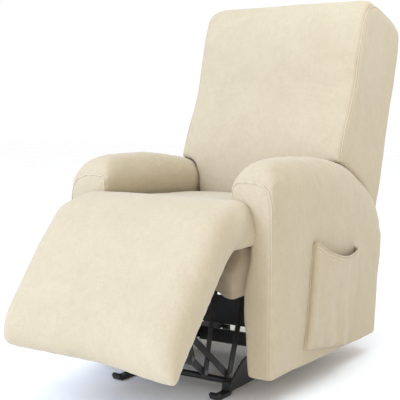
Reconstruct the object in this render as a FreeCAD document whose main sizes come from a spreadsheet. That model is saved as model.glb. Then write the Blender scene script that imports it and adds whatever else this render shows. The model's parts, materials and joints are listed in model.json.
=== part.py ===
import FreeCAD, Part
import Sketcher
import math
import os
from FreeCAD import Vector, Placement, Matrix

# Recliner armchair, millimetres.  +Z up, the chair faces -Y, +X is the sitter's left.
# Every sub-part is drawn from the plane of the arm fronts (depth 0), the floor (height 0)
# and the mid-plane (side 0); its Placement then moves it back by origin_y, so that the
# row's origin lies on the floor under the middle of the whole chair.

doc = FreeCAD.newDocument("Recliner")
sheet = doc.addObject("Spreadsheet::Sheet", "Dim")

D = dict(
    origin_y=271.9,        # arm-front plane to the middle of the overall depth
    # arms
    arm_out=330.0, arm_in=257.0, roll_in=201.0, arm_base=77.0, arm_rear=712.0,
    arm_top=638.0, cloth=3.0, panel_in=275.0, panel_thick=18.0,
    # footrest pivot, linkage pivots (depth, height)
    knee_y=-30.0, knee_z=455.0, drive_y=149.0, drive_z=310.0,
    crank_len=271.0, crank_lean=19.8,      # rear crank, degrees forward of straight down
    fcrank_part=0.35, fcrank_len=328.4, fcrank_lean=13.0,
    link_half=9.0, link_thick=4.0, hub=11.0, rivet_rad=4.0, stud_rad=5.0,
    lay_crank=169.0, lay_long=163.0, lay_front=157.0, lay_short=151.0,
    fit_gap=0.05, open_gap=0.30,
    # footrest pad, in its own frame from the knee pivot
    pad_slope=48.5, pad_start=26.0, pad_end=424.0, pad_top=109.0, pad_back=-9.0,
    pad_half=250.0, board_thick=12.0,
    # seat frame
    plate_in=176.0, plate_thick=4.0, leg_thick=4.0, tube_rad=11.0,
    tube_front_y=75.0, tube_rear_y=415.0, tube_z=400.0,
    foot_in=150.0, foot_wide=26.0, rail_low=30.0, rail_top=74.0, cross_rad=9.0, cross_y=77.0, cross_z=31.0,
    leg_front_y=172.0, leg_rear_y=430.0, leg_wide=35.0, leg_top=345.0,
    seat_front=12.0, seat_rear=445.0, seat_low=415.0, seat_high=503.0,
    # backrest, in its own frame from the hinge
    hinge_y=560.0, hinge_z=330.0, back_lean=16.5, back_high=789.0,
    back_front=-105.0, back_rear=148.0, back_half=297.0, back_low_half=195.0,
    pin_rad=6.0, post_in=150.0, post_wide=32.0, post_half=22.0,
    # release handle on the sitter's right
    rod_rad=7.0, rod_hole=9.5, lever_len=125.0, lever_rise=64.5, lever_thick=6.0,
    # magazine pocket on the sitter's left arm
    pocket_deep=22.0, pocket_wide=274.0, pocket_high=284.0, pocket_tilt=9.8,
    pocket_y=193.0, pocket_z=410.0,
)
for i, (key, value) in enumerate(D.items()):
    sheet.set("A%d" % (i + 1), "'" + key)
    sheet.set("B%d" % (i + 1), repr(value))
    sheet.setAlias("B%d" % (i + 1), key)
doc.recompute()

OUT = {}     # node name -> document object that is exported


def num(c):
    """A coordinate: a number, an alias, or (alias, offset)."""
    if isinstance(c, str):
        return D[c]
    if isinstance(c, tuple):
        return (c[2] if len(c) > 2 else 1.0) * D[c[0]] + c[1]
    return float(c)


def expr(c):
    if isinstance(c, str):
        return "Dim." + c
    if isinstance(c, tuple):
        k = c[2] if len(c) > 2 else 1.0
        return "%g * Dim.%s %s %g" % (k, c[0], "+" if c[1] >= 0 else "-", abs(c[1]))
    return "%g" % c


def axes(ex, ey, base=(0, 0, 0)):
    """Placement whose local X and Y run along ex and ey (row directions)."""
    ex, ey = Vector(*ex), Vector(*ey)
    ez = ex.cross(ey)
    p = Placement(Matrix(ex.x, ey.x, ez.x, 0, ex.y, ey.y, ez.y, 0, ex.z, ey.z, ez.z, 0, 0, 0, 0, 1))
    p.Base = Vector(*base)
    return p


def put(obj, x, y, z, rot=None):
    """Give obj its place: x, y, z are coordinates bound to the sheet, y from the arm-front plane."""
    p = Placement(rot) if rot else Placement()
    p.Base = Vector(num(x), num(y) - D["origin_y"], num(z))
    obj.Placement = p
    obj.setExpression("Placement.Base.x", expr(x))
    obj.setExpression("Placement.Base.y", "%s - Dim.origin_y" % expr(y))
    obj.setExpression("Placement.Base.z", expr(z))


def new_body(name):
    body = doc.addObject("PartDesign::Body", name)
    body.Label = name
    return body


def new_sketch(body, plane):
    sk = body.newObject("Sketcher::SketchObject", body.Name + "_sketch")
    ref = [f for f in body.Origin.OriginFeatures if f.Role == plane][0]
    sk.AttachmentSupport = [(ref, "")]
    sk.MapMode = "FlatFace"
    return sk


def loop(sk, pts):
    """A closed polygon whose corners are held by dimensions from the sketch origin."""
    base, n = sk.GeometryCount, len(pts)
    vs = [Vector(num(a), num(b), 0) for a, b in pts]
    for i in range(n):
        sk.addGeometry(Part.LineSegment(vs[i], vs[(i + 1) % n]), False)
    for i in range(n):
        sk.addConstraint(Sketcher.Constraint("Coincident", base + i, 2, base + (i + 1) % n, 1))
    for i, pair in enumerate(pts):
        for kind, c in zip(("DistanceX", "DistanceY"), pair):
            k = sk.addConstraint(Sketcher.Constraint(kind, -1, 1, base + i, 1, num(c)))
            if not isinstance(c, (int, float)):
                sk.setExpression("Constraints[%d]" % k, expr(c))


def hole(sk, x, y, r):
    g = sk.addGeometry(Part.Circle(Vector(num(x), num(y), 0), Vector(0, 0, 1), num(r)), False)
    for kind, c in (("DistanceX", x), ("DistanceY", y)):
        k = sk.addConstraint(Sketcher.Constraint(kind, -1, 1, g, 3, num(c)))
        if not isinstance(c, (int, float)):
            sk.setExpression("Constraints[%d]" % k, expr(c))
    k = sk.addConstraint(Sketcher.Constraint("Radius", g, num(r)))
    if not isinstance(r, (int, float)):
        sk.setExpression("Constraints[%d]" % k, expr(r))


def slab(name, plane, pts, thick, at=(0, 0, 0), rot=None, holes=(), back=False, keep=True):
    """A body with one padded polygon: a plate, a panel or a plain block of padding."""
    body = new_body(name)
    sk = new_sketch(body, plane)
    loop(sk, pts)
    for h in holes:
        hole(sk, *h)
    pad = body.newObject("PartDesign::Pad", name + "_pad")
    pad.Profile = sk
    pad.Length = num(thick)
    pad.setExpression("Length", expr(thick))
    pad.Reversed = back
    body.Tip = pad
    put(body, *at, rot=rot)
    if keep:
        OUT[name] = body
    return body


def side(name, pts, x, thick, holes=(), keep=True):
    """A plate in the side view (depth, height), from x towards the sitter's left."""
    return slab(name, "YZ_Plane", pts, thick, at=(x, 0, 0), holes=holes, keep=keep)


def bar(name, length, half, thick, x, start, towards, r0, r1, keep=True):
    """A link: a flat bar with round ends and an eye at each end, from start towards a point."""
    body = new_body(name)
    sk = new_sketch(body, "XY_Plane")
    L, w = num(length), num(half)
    a0, a1 = -math.pi / 2, math.pi / 2
    sk.addGeometry([
        Part.LineSegment(Vector(0, w, 0), Vector(L, w, 0)),
        Part.ArcOfCircle(Part.Circle(Vector(L, 0, 0), Vector(0, 0, 1), w), a0, a1),
        Part.LineSegment(Vector(L, -w, 0), Vector(0, -w, 0)),
        Part.ArcOfCircle(Part.Circle(Vector(0, 0, 0), Vector(0, 0, 1), w), a1, a1 + math.pi)], False)
    C = Sketcher.Constraint
    sk.addConstraint([C("Tangent", 0, 2, 1, 2), C("Tangent", 1, 1, 2, 1),
                      C("Tangent", 2, 2, 3, 2), C("Tangent", 3, 1, 0, 1),
                      C("Coincident", 3, 3, -1, 1), C("PointOnObject", 1, 3, -1)])
    k = sk.addConstraint(C("DistanceX", -1, 1, 1, 3, L))
    if not isinstance(length, (int, float)):
        sk.setExpression("Constraints[%d]" % k, expr(length))
    k = sk.addConstraint(C("Radius", 3, w))
    sk.setExpression("Constraints[%d]" % k, expr(half))
    hole(sk, 0, 0, r0)
    hole(sk, length, 0, r1)
    pad = body.newObject("PartDesign::Pad", name + "_pad")
    pad.Profile = sk
    pad.Length = num(thick)
    pad.setExpression("Length", expr(thick))
    body.Tip = pad
    dy, dz = towards[0] - start[0], towards[1] - start[1]
    q = math.hypot(dy, dz)
    put(body, x, start[0], start[1], rot=axes((0, dy / q, dz / q), (0, -dz / q, dy / q)))
    if keep:
        OUT[name] = body
    return body


def turned(name, segs, y, z, sign=1, keep=False):
    """A stud, rivet or rod turned about the X direction: segs are (from, to, radius)."""
    body = new_body(name)
    sk = new_sketch(body, "XY_Plane")
    pts = []
    for a, b, r in segs:
        pts += [(a, r), (b, r)]
    pts = [(segs[0][0], 0.0)] + pts + [(segs[-1][1], 0.0)]
    if sign < 0:
        flip = {}
        out = []
        for a, r in pts:
            out.append(((-num(a)) if not isinstance(a, (str, tuple)) else
                        (a, 0, -1.0) if isinstance(a, str) else (a[0], -a[1], -(a[2] if len(a) > 2 else 1.0)), r))
        pts = out[::-1]
    loop(sk, pts)
    rev = body.newObject("PartDesign::Revolution", name + "_turn")
    rev.Profile = sk
    rev.ReferenceAxis = (sk, ["H_Axis"])
    rev.Angle = 360.0
    body.Tip = rev
    put(body, 0, y, z)
    if keep:
        OUT[name] = body
    return body


def group(name, members):
    """Identical small pieces kept together as separate solids."""
    g = doc.addObject("Part::Compound", name)
    g.Label = name
    g.Links = members
    OUT[name] = g
    return g


def minus(name, base, tool, keep=True):
    c = doc.addObject("Part::Cut", name)
    c.Label = name
    c.Base, c.Tool = base, tool
    if keep:
        OUT[name] = c
    return c


def both(kind, name, shapes):
    c = doc.addObject(kind, name)
    c.Shapes = shapes
    return c


# ---------------------------------------------------------------- pivots of the footrest linkage
K = (D["knee_y"], D["knee_z"])
C1 = (D["drive_y"], D["drive_z"])
lean1, lean2 = math.radians(D["crank_lean"]), math.radians(D["fcrank_lean"])
arm1 = (-D["crank_len"] * math.sin(lean1), -D["crank_len"] * math.cos(lean1))
arm2 = (-D["fcrank_len"] * math.sin(lean2), -D["fcrank_len"] * math.cos(lean2))
C2 = (K[0] + D["fcrank_part"] * (C1[0] - K[0]), K[1] + D["fcrank_part"] * (C1[1] - K[1]))
Q1, P1 = (C1[0] + arm1[0], C1[1] + arm1[1]), (K[0] + arm1[0], K[1] + arm1[1])
Q2, P2 = (C2[0] + arm2[0], C2[1] + arm2[1]), (K[0] + arm2[0], K[1] + arm2[1])
long_len = math.hypot(K[0] - C1[0], K[1] - C1[1])
short_len = math.hypot(K[0] - C2[0], K[1] - C2[1])

# ---------------------------------------------------------------- base
# base side rails: upright plates whose front ends widen into the gussets that carry the cross tube
rail_pts = [(50, 16), (62, 46), (118, 84), (150, 92), (206, "rail_top"), (600, "rail_top"), (600, "rail_low"),
            (230, "rail_low"), (206, 14), (58, 12)]
side("base_rail_left", rail_pts, "plate_in", "plate_thick")
side("base_rail_right", rail_pts, ("plate_in", -4, -1.0), "plate_thick")

# feet: bent straps fixed to the inner faces of the rails, the front ones with turned-up toes
toe = [(2, 0), (56, 0), (66, 9), (66, 34), (54, 34), (54, 13), (50, 10), (14, 10), (-3, 21), (-12, 17), (-6, 4)]
heel = [(540, 0), (592, 0), (592, 42), (582, 42), (582, 10), (540, 10)]
for name, pts in (("front_feet", toe), ("rear_feet", heel)):
    l = side(name + "_l", pts, "foot_in", "foot_wide", keep=False)
    r = side(name + "_r", pts, ("plate_in", 0, -1.0), "foot_wide", keep=False)
    group(name, [l, r])

tube = doc.addObject("Part::Cylinder", "front_cross_tube")
tube.Label = "front_cross_tube"
tube.setExpression("Radius", "Dim.cross_rad")
tube.setExpression("Height", "2 * Dim.plate_in")
put(tube, ("plate_in", 0, -1.0), "cross_y", "cross_z", rot=axes((0, 1, 0), (0, 0, 1)))
OUT["front_cross_tube"] = tube

def leg(name, y0, x):
    pts = [(y0, "rail_low"), ((y0, 35), "rail_low"), ((y0, 35), "leg_top"), (y0, "leg_top")]
    return side(name, pts, x, "leg_thick", holes=[((y0, 17.5), 330, 4.0)])


leg("front_leg_left", "leg_front_y", ("plate_in", 4))
leg("front_leg_right", "leg_front_y", ("plate_in", -8, -1.0))
leg("rear_leg_left", "leg_rear_y", ("plate_in", 4))
leg("rear_leg_right", "leg_rear_y", ("plate_in", -8, -1.0))

for name, z0, z1, more in (("rear_upper_stretcher", 84, 176, 4), ("rear_lower_stretcher", 22, 66, 0)):
    b = doc.addObject("Part::Box", name)
    b.Label = name
    b.setExpression("Length", "2 * Dim.plate_in + %d" % (2 * more))
    b.Width = 4
    b.Height = z1 - z0
    put(b, ("plate_in", -more, -1.0), 440, z0)
    OUT[name] = b

# ---------------------------------------------------------------- seat frame
# stamped side plates: hooked forward to the knee pivot, level along the seat, low at the back hinge
plate = [(-39, 463), (-42, 453), (-35, 444), (20, 399), (22, 391), (40, 381), (128, 299), (140, 293),
         (572, 302), (585, 318), (585, 344), (574, 355), (470, 355), (446, 413), (60, 413), (44, 421), (-22, 469)]
holes = [(K[0], K[1], "stud_rad"), (C2[0], C2[1], "stud_rad"), (C1[0], C1[1], ("rod_rad", 0.05)),
         ("hinge_y", "hinge_z", "pin_rad"), (("leg_front_y", 17.5), 330, 4.0), (("leg_rear_y", 17.5), 330, 4.0)]
side("seat_side_plate_left", plate, "plate_in", "plate_thick", holes=holes)
side("seat_side_plate_right", plate, ("plate_in", -4, -1.0), "plate_thick", holes=holes)

for name, y in (("seat_front_tube", "tube_front_y"), ("seat_rear_tube", "tube_rear_y")):
    t = doc.addObject("Part::Cylinder", name)
    t.Label = name
    t.setExpression("Radius", "Dim.tube_rad")
    t.setExpression("Height", "2 * Dim.plate_in")
    put(t, ("plate_in", 0, -1.0), y, "tube_z", rot=axes((0, 1, 0), (0, 0, 1)))
    OUT[name] = t


def zigzag(first, last, pitch, half, wire):
    """Outline of a sinuous spring lying in a plane: first to last along its length."""
    left, right = [], []
    n = int((last - first) // pitch)
    step = (last - first) / n
    for i in range(n + 1):
        s = first + i * step
        w = half if i % 2 else -half
        if i in (0, n):
            w = 0.0
        left.append((s, w + wire))
        right.append((s, w - wire))
    return left + right[::-1]


springs = []
for i, x in enumerate((-130, -65, 0, 65, 130)):
    pts = [(b, a) for a, b in zigzag(66, 424, 26, 17, 4.5)]
    springs.append(slab("seat_spring_%d" % i, "XY_Plane", pts, 3.5, at=(x, 0, 411), keep=False))
group("seat_springs", springs)

bolts = []
for i, (y, sgn) in enumerate((("leg_front_y", 1), ("leg_rear_y", 1), ("leg_front_y", -1), ("leg_rear_y", -1))):
    bolts.append(turned("leg_bolt_%d" % i, [(173.5, 176, 6.5), (176, 184, 4.0), (184, 189, 7.0)], (y, 17.5), 330, sgn))
group("leg_bolts", bolts)

# seat cushion: a block between the arms with a raised crown between the arm rolls
crown = [(-247, "seat_low"), (247, "seat_low"), (247, 436), (202.5, 459.5), (193.3, ("seat_high", -3)),
         (-193.3, ("seat_high", -3)), (-202.5, 459.5), (-247, 436)]
block = slab("seat_foam_block", "XZ_Plane", crown, ("seat_rear", -12.0), at=(0, "seat_front", 0), back=True, keep=False)
# two notches let the foam down over the rising front ends of the side plates
notch = [(0, 400), (64, 400), (64, 416), (44, 425), (0, 456)]
notches = [side("seat_foam_notch_l", notch, ("plate_in", -2), 8, keep=False),
           side("seat_foam_notch_r", notch, ("plate_in", -6, -1.0), 8, keep=False)]
minus("seat_foam", block, both("Part::MultiFuse", "seat_foam_notches", notches))
ring = [(-250, "seat_low"), (-250, 438), (-205, 462), (-196, "seat_high"), (196, "seat_high"), (205, 462),
        (250, 438), (250, "seat_low"), (247, "seat_low"), (247, 436), (202.5, 459.5), (193.3, ("seat_high", -3)),
        (-193.3, ("seat_high", -3)), (-202.5, 459.5), (-247, 436), (-247, "seat_low")]
slab("seat_cover", "XZ_Plane", ring, ("seat_rear", -12.0), at=(0, "seat_front", 0), back=True)

# the short curtain of lining cloth under the front of the seat, slit round the linkage
lin = []
for i, (x0, x1) in enumerate(((-147, 147), (188, 246), (-246, -188))):
    lin.append(slab("lining_%d" % i, "XZ_Plane", [(x0, 300), (x1, 300), (x1, 388), (x0, 388)], 3, at=(0, 14, 0),
                    back=True, keep=False))
group("front_lining", lin)

# ---------------------------------------------------------------- arms
arch = [(0, "arm_base"), (0, 555), (8, 588), (40, 612), (110, 632), (200, "arm_top"), (300, 634), (400, 622),
        (500, 600), (570, 565), (630, 525), (672, 488), (700, 445), ("arm_rear", 400), (710, 340), (695, 230),
        (678, "arm_base")]


def shrink(pts, d):
    """The same outline drawn in by the cloth thickness, open at the bottom edge."""
    vs = [Vector(num(a), num(b), 0) for a, b in pts]
    n = len(vs)
    area = sum(vs[i].x * vs[(i + 1) % n].y - vs[(i + 1) % n].x * vs[i].y for i in range(n))
    s = 1.0 if area > 0 else -1.0
    out = []
    for i in range(n):
        p, q, r = vs[i - 1], vs[i], vs[(i + 1) % n]
        e1, e2 = (q - p).normalize(), (r - q).normalize()
        n1, n2 = Vector(-e1.y, e1.x, 0) * s, Vector(-e2.y, e2.x, 0) * s
        m = n1 + n2
        k = d / max(0.3, (m.dot(n1)))
        out.append((q.x + m.x * k, q.y + m.y * k))
    return out


def section(o, low):
    """Front view of one arm: a slab with a round roll on top that overhangs the seat."""
    return [(("arm_in", o), low), (("arm_out", -o), low), (("arm_out", -o), 560), (322 - o * .9, 595 - o * .5),
            (300 - o * .5, 622 - o), (275, 640 - o), (250, 640 - o), (225 + o * .5, 622 - o),
            (207 + o * .9, 595 - o * .5), (("roll_in", o), 560), (("roll_in", o), 500 + o * .3),
            (212 + o * .7, 475 + o * .8), (240 + o * .2, 458 + o), (("arm_in", o), 450 + o)]


def mirror_pts(pts):
    out = []
    for a, b in pts:
        if isinstance(a, tuple):
            a = (a[0], -a[1], -1.0)
        elif isinstance(a, str):
            a = (a, 0, -1.0)
        else:
            a = -a
        out.append((a, b))
    return out[::-1]


inner_arch = [(a, b if i not in (0, len(arch) - 1) else 60) for i, (a, b) in enumerate(shrink(arch, D["cloth"]))]
foam_arch = [(a, b if i not in (0, len(arch) - 1) else D["arm_base"] + 1) for i, (a, b) in enumerate(shrink(arch, D["cloth"]))]
panel_pts = [(22, 92), (650, 92), (650, 430), (600, 500), (500, 540), (60, 540), (22, 510)]

for word, sgn in (("left", 1), ("right", -1)):
    sec_o, sec_i, sec_f = section(0, "arm_base"), section(3.0, 60), section(3.0, 78)
    if sgn < 0:
        sec_o, sec_i, sec_f = mirror_pts(sec_o), mirror_pts(sec_i), mirror_pts(sec_f)
    x0 = 190 if sgn > 0 else -340
    shapes = {}
    for tag, sec, prof in (("o", sec_o, arch), ("i", sec_i, inner_arch), ("f", sec_f, foam_arch)):
        a = slab("arm_sec_%s_%s" % (tag, word), "XZ_Plane", sec, 800, at=(0, -20, 0), back=True, keep=False)
        b = side("arm_arch_%s_%s" % (tag, word), prof, x0, 150, keep=False)
        shapes[tag] = both("Part::MultiCommon", "arm_%s_%s" % (tag, word), [a, b])
    px = ("panel_in", 0) if sgn > 0 else ("panel_in", -18, -1.0)
    drill = []
    if sgn < 0:
        drill = [("drive_y", "drive_z", "rod_hole")]
    side("arm_frame_" + word, panel_pts, px, "panel_thick", holes=drill)
    slot = side("arm_slot_" + word, panel_pts, px, "panel_thick", keep=False)
    rail = doc.addObject("Part::Box", "arm_rail_" + word)
    rail.setExpression("Length", "Dim.panel_in - Dim.plate_in - 4")
    rail.Width, rail.Height = 216, 38
    put(rail, ("plate_in", 4) if sgn > 0 else ("panel_in", 0, -1.0), 210, 306)
    cutters = [slot, rail]
    skin_cutters = [shapes["i"], rail]
    if sgn < 0:
        bore = doc.addObject("Part::Cylinder", "arm_bore")
        bore.setExpression("Radius", "Dim.rod_hole")
        bore.Height = 120
        put(bore, -345, "drive_y", "drive_z", rot=axes((0, 1, 0), (0, 0, 1)))
        cutters.append(bore)
        skin_cutters.append(bore)
    minus("arm_foam_" + word, shapes["f"], both("Part::MultiFuse", "arm_void_" + word, cutters))
    minus("arm_cover_" + word, shapes["o"], both("Part::MultiFuse", "arm_hollow_" + word, skin_cutters))
group("arm_rails", [doc.getObject("arm_rail_left"), doc.getObject("arm_rail_right")])

# magazine pocket: a shallow cloth box sewn to the arm, open at its upper edge, hung a little askew
tilt = math.radians(D["pocket_tilt"])
pock = axes((0, math.cos(tilt), -math.sin(tilt)), (0, math.sin(tilt), math.cos(tilt)))
outer = slab("pocket_outer", "XY_Plane", [(0, ("pocket_high", 0, -1.0)), ("pocket_wide", ("pocket_high", 0, -1.0)),
             ("pocket_wide", 0), (0, 0)], "pocket_deep", at=("arm_out", "pocket_y", "pocket_z"), rot=pock, keep=False)
inner = slab("pocket_inner", "XY_Plane", [(3, ("pocket_high", 3, -1.0)), (("pocket_wide", -3), ("pocket_high", 3, -1.0)),
             (("pocket_wide", -3), 10), (3, 10)], ("pocket_deep", -3), at=("arm_out", "pocket_y", "pocket_z"), rot=pock,
             keep=False)
minus("side_pocket", outer, inner)

# ---------------------------------------------------------------- linkage
ec, es = D["rivet_rad"], D["stud_rad"]
for word, sgn in (("left", 1), ("right", -1)):
    def lay(alias):
        return alias if sgn > 0 else (alias, -D["link_thick"], -1.0)
    bar("drive_crank_" + word, "crank_len", "hub", "link_thick", lay("lay_crank"), C1, Q1, "rod_rad", "rivet_rad")
    bar("front_crank_" + word, "fcrank_len", "link_half", "link_thick", lay("lay_front"), C2, Q2,
        ("stud_rad", 0.05), "rivet_rad")
    bar("long_coupler_" + word, long_len, "link_half", "link_thick", lay("lay_long"), Q1, P1,
        ("rivet_rad", 0.05), ("rivet_rad", 0.3))
    bar("short_coupler_" + word, short_len, "link_half", "link_thick", lay("lay_short"), Q2, P2,
        ("rivet_rad", 0.05), ("rivet_rad", 0.3))


def pair(name, segs, y, z):
    return [turned("%s_%s" % (name, w), segs, y, z, s) for w, s in (("l", 1), ("r", -1))]


group("drive_rivets", pair("q_one", [(161.5, 163, 7), (163, 167, ec), (167, 169, 7), (169, 173, ec), (173, 175, 7)], *Q1))
group("front_crank_rivets", pair("q_two", [(149.5, 151, 7), (151, 155, ec), (155, 157, 7), (157, 161, ec), (161, 162.5, 7)], *Q2))
group("footrest_rivets",
      pair("p_one", [(155.5, 157, 7), (157, 161, ec), (161, 163, 7), (163, 167, ec), (167, 168.5, 7)], *P1)
      + pair("p_two", [(149.5, 151, 7), (151, 155, ec), (155, 157, 7), (157, 161, ec), (161, 162.5, 7)], *P2))
group("crank_pivot_studs", pair("c_two", [(155, 157, 8), (157, 161, es), (161, 176, 8), (176, 180, es), (180, 182, 8)], *C2))
group("knee_pivot_studs", pair("k_stud", [(155, 157, 8), (157, 161, es), (161, 176, 8), (176, 180, es), (180, 182, 8)], *K))
group("back_hinge_pins", pair("h_pin", [(173, 176, 10), (176, 180, "pin_rad"), (180, 182, 10), (182, 186, "pin_rad"),
                                        (186, 189, 10)], "hinge_y", "hinge_z"))

# drive rod: right across the chair and out through the sitter's right arm, where the handle sits
turned("drive_rod", [(-345, 182, "rod_rad")], *C1, keep=True)
rise = math.radians(D["lever_rise"])
tip = (C1[0] - math.cos(rise) * 100, C1[1] + math.sin(rise) * 100)
bar("release_lever", "lever_len", "hub", "lever_thick", -343, C1, tip, "rod_rad", 2.0)
lv = axes((0, -math.cos(rise), math.sin(rise)), (0, -math.sin(rise), -math.cos(rise)))
grip = slab("grip_block", "XY_Plane", [(38, -15), (128, -19), (146, -12), (150, 0), (146, 12), (128, 19), (38, 15), (34, 0)],
            20, at=(-352, C1[0], C1[1]), rot=lv, keep=False)
blade = bar("grip_slot", "lever_len", "hub", "lever_thick", -343, C1, tip, 0.5, 0.5, keep=False)
minus("lever_grip", grip, blade)

# ---------------------------------------------------------------- footrest
phi = math.radians(D["pad_slope"])
pad_rot = axes((0, -math.cos(phi), -math.sin(phi)), (0, -math.sin(phi), math.cos(phi)))


def local(p):
    """A side-view point in the footrest's own frame: along the pad and out of its face."""
    dy, dz = p[0] - K[0], p[1] - K[1]
    return (-dy * math.cos(phi) - dz * math.sin(phi), -dy * math.sin(phi) + dz * math.cos(phi))


slab("footrest_board", "XY_Plane", [(("pad_start", 4), "pad_back"), (400, "pad_back"), (400, ("pad_back", 12)),
     (("pad_start", 4), ("pad_back", 12))], 470, at=(235, "knee_y", "knee_z"), rot=pad_rot)
soft = [("pad_start", ("pad_back", 12)), ("pad_start", ("pad_top", -3)), (390, ("pad_top", -3)), (413.5, 88.5),
        (("pad_end", -3), 59.5), (("pad_end", -3), ("pad_back", 12))]
slab("footrest_foam", "XY_Plane", soft, ("pad_half", -6, 2.0), at=(("pad_half", -3), "knee_y", "knee_z"), rot=pad_rot)
skin = slab("pad_skin", "XY_Plane", [("pad_start", "pad_back"), ("pad_start", "pad_top"), (391, "pad_top"), (416, 90),
            ("pad_end", 60), ("pad_end", "pad_back")], ("pad_half", 0, 2.0), at=("pad_half", "knee_y", "knee_z"),
            rot=pad_rot, keep=False)
core = slab("pad_core", "XY_Plane", [(("pad_start", -6), ("pad_back", -6)), (("pad_start", -6), ("pad_top", -3)),
            (390, ("pad_top", -3)), (413.5, 88.5), (("pad_end", -3), 59.5), (("pad_end", -3), ("pad_back", -6))],
            ("pad_half", -6, 2.0), at=(("pad_half", -3), "knee_y", "knee_z"), rot=pad_rot, keep=False)
minus("footrest_cover", skin, core)

p1, p2 = local(P1), local(P2)
bk = [(-8, -8), (-11, 0), (-8, 8), (0, 11), (8, 8), (22, -9), (345, -9), (345, -30), (p2[0] + 16, p2[1] - 2),
      (p2[0] + 10, p2[1] - 12), (p2[0] - 4, p2[1] - 12), (p1[0] - 8, p1[1] - 10), (60, -36)]
for word, sgn in (("left", 1), ("right", -1)):
    slab("footrest_bracket_" + word, "XY_Plane", bk, "link_thick",
         at=(("lay_front", 4) if sgn > 0 else ("lay_front", 0, -1.0), "knee_y", "knee_z"), rot=pad_rot,
         holes=[(0, 0, ("stud_rad", 0.05)), (p1[0], p1[1], "rivet_rad"), (p2[0], p2[1], "rivet_rad")])

# ---------------------------------------------------------------- backrest
lean = math.radians(D["back_lean"])
back_rot = axes((0, math.cos(lean), -math.sin(lean)), (0, math.sin(lean), math.cos(lean)))   # local: rearward, up
face_rot = axes((1, 0, 0), (0, math.sin(lean), math.cos(lean)))                              # local: side, up; pads forward


def at_b(b):
    """Side-view position of the plane b behind the hinge line, as a depth and a height."""
    return D["hinge_y"] + b * math.cos(lean), D["hinge_z"] - b * math.sin(lean)


def back_side(name, pts, x, thick, holes=(), keep=True):
    return slab(name, "XY_Plane", pts, thick, at=(x, "hinge_y", "hinge_z"), rot=back_rot, holes=holes, keep=keep)


post = [(("post_half", 0, -1.0), 50), ("post_half", 50), ("post_half", 760), (("post_half", 0, -1.0), 760)]
back_side("back_post_left", post, "post_in", "post_wide")
back_side("back_post_right", post, ("post_in", -32, -1.0), "post_wide")
rails = []
for tag, lo, hi in (("low", 60, 105), ("top", 715, 760)):
    rails.append(back_side("back_rail_" + tag, [(("post_half", 0, -1.0), lo), ("post_half", lo), ("post_half", hi),
                                                (("post_half", 0, -1.0), hi)], ("post_in", 0, -1.0), ("post_in", 0, 2.0), keep=False))
group("back_rails", rails)
wires = []
yb, zb = at_b(-14)
for i, a0 in enumerate((190, 320, 450, 580)):
    pts = [(a, b + a0) for a, b in zigzag(-150, 150, 25, 17, 4.5)]
    wires.append(slab("back_spring_%d" % i, "XY_Plane", pts, 3.5, at=(0, yb, zb), rot=face_rot, keep=False))
group("back_springs", wires)
ear = [(-16, -10), (-10, -16), (10, -16), (16, -10), (16, 250), (-16, 250)]
for word, x in (("left", ("post_in", 32)), ("right", ("post_in", -36, -1.0))):
    back_side("back_bracket_" + word, ear, x, 4, holes=[(0, 0, ("pin_rad", 0.05))])

tee = [(-191, 54), (191, 54), (191, 278), (293, 278), (293, 690), (261, 748), (-261, 748), (-293, 690), (-293, 278), (-191, 278)]
yf, zf = at_b(-24)
slab("back_foam", "XY_Plane", tee, 77, at=(0, yf, zf), rot=face_rot)
tee2 = [(-191, -24), (191, -24), (191, 202), (293, 202), (293, 698), (261, 752), (-261, 752), (-293, 698), (-293, 202), (-191, 202)]
yr, zr = at_b(144)
slab("back_rear_panel", "XY_Plane", tee2, 41, at=(0, yr, zr), rot=face_rot)
wad = [(-24, 262), (102, 204), (102, 778), (-24, 778)]
wl = back_side("wadding_l", wad, 200, 62, keep=False)
wr = back_side("wadding_r", wad, -262, 62, keep=False)
group("back_side_wadding", [wl, wr])
wing_o = [("back_front", 268), ("back_front", 755), (-88, 771), (-30, 783), (60, "back_high"), (120, 783), ("back_rear", 757),
          ("back_rear", 130), (118, 165), (75, 208), (30, 232), (-40, 250)]
wing_i = [(-102, 272), (-102, 753.7), (-86.8, 768.2), (-29.6, 780), (59.9, 787), (118.8, 780.2), (145, 755.5), (145, 137), (120, 167.5),
          (76.5, 211), (31, 235.5), (-39, 253.2)]
low_o = [("back_front", 50), ("back_front", 300), ("back_rear", 300), ("back_rear", -30), (100, -30), (20, 50)]
low_i = [(-102, 30), (-102, 303), (145, 303), (145, -60), (90, -60), (10, 30)]
wo = back_side("wing_outer", wing_o, ("back_half", 0, -1.0), ("back_half", 0, 2.0), keep=False)
wi = back_side("wing_inner", wing_i, ("back_half", 3, -1.0), ("back_half", -6, 2.0), keep=False)
lo_ = back_side("low_outer", low_o, ("back_low_half", 0, -1.0), ("back_low_half", 0, 2.0), keep=False)
li = back_side("low_inner", low_i, ("back_low_half", 3, -1.0), ("back_low_half", -6, 2.0), keep=False)
minus("back_cover", both("Part::MultiFuse", "back_outer", [wo, lo_]), both("Part::MultiFuse", "back_inner", [wi, li]))

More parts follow.
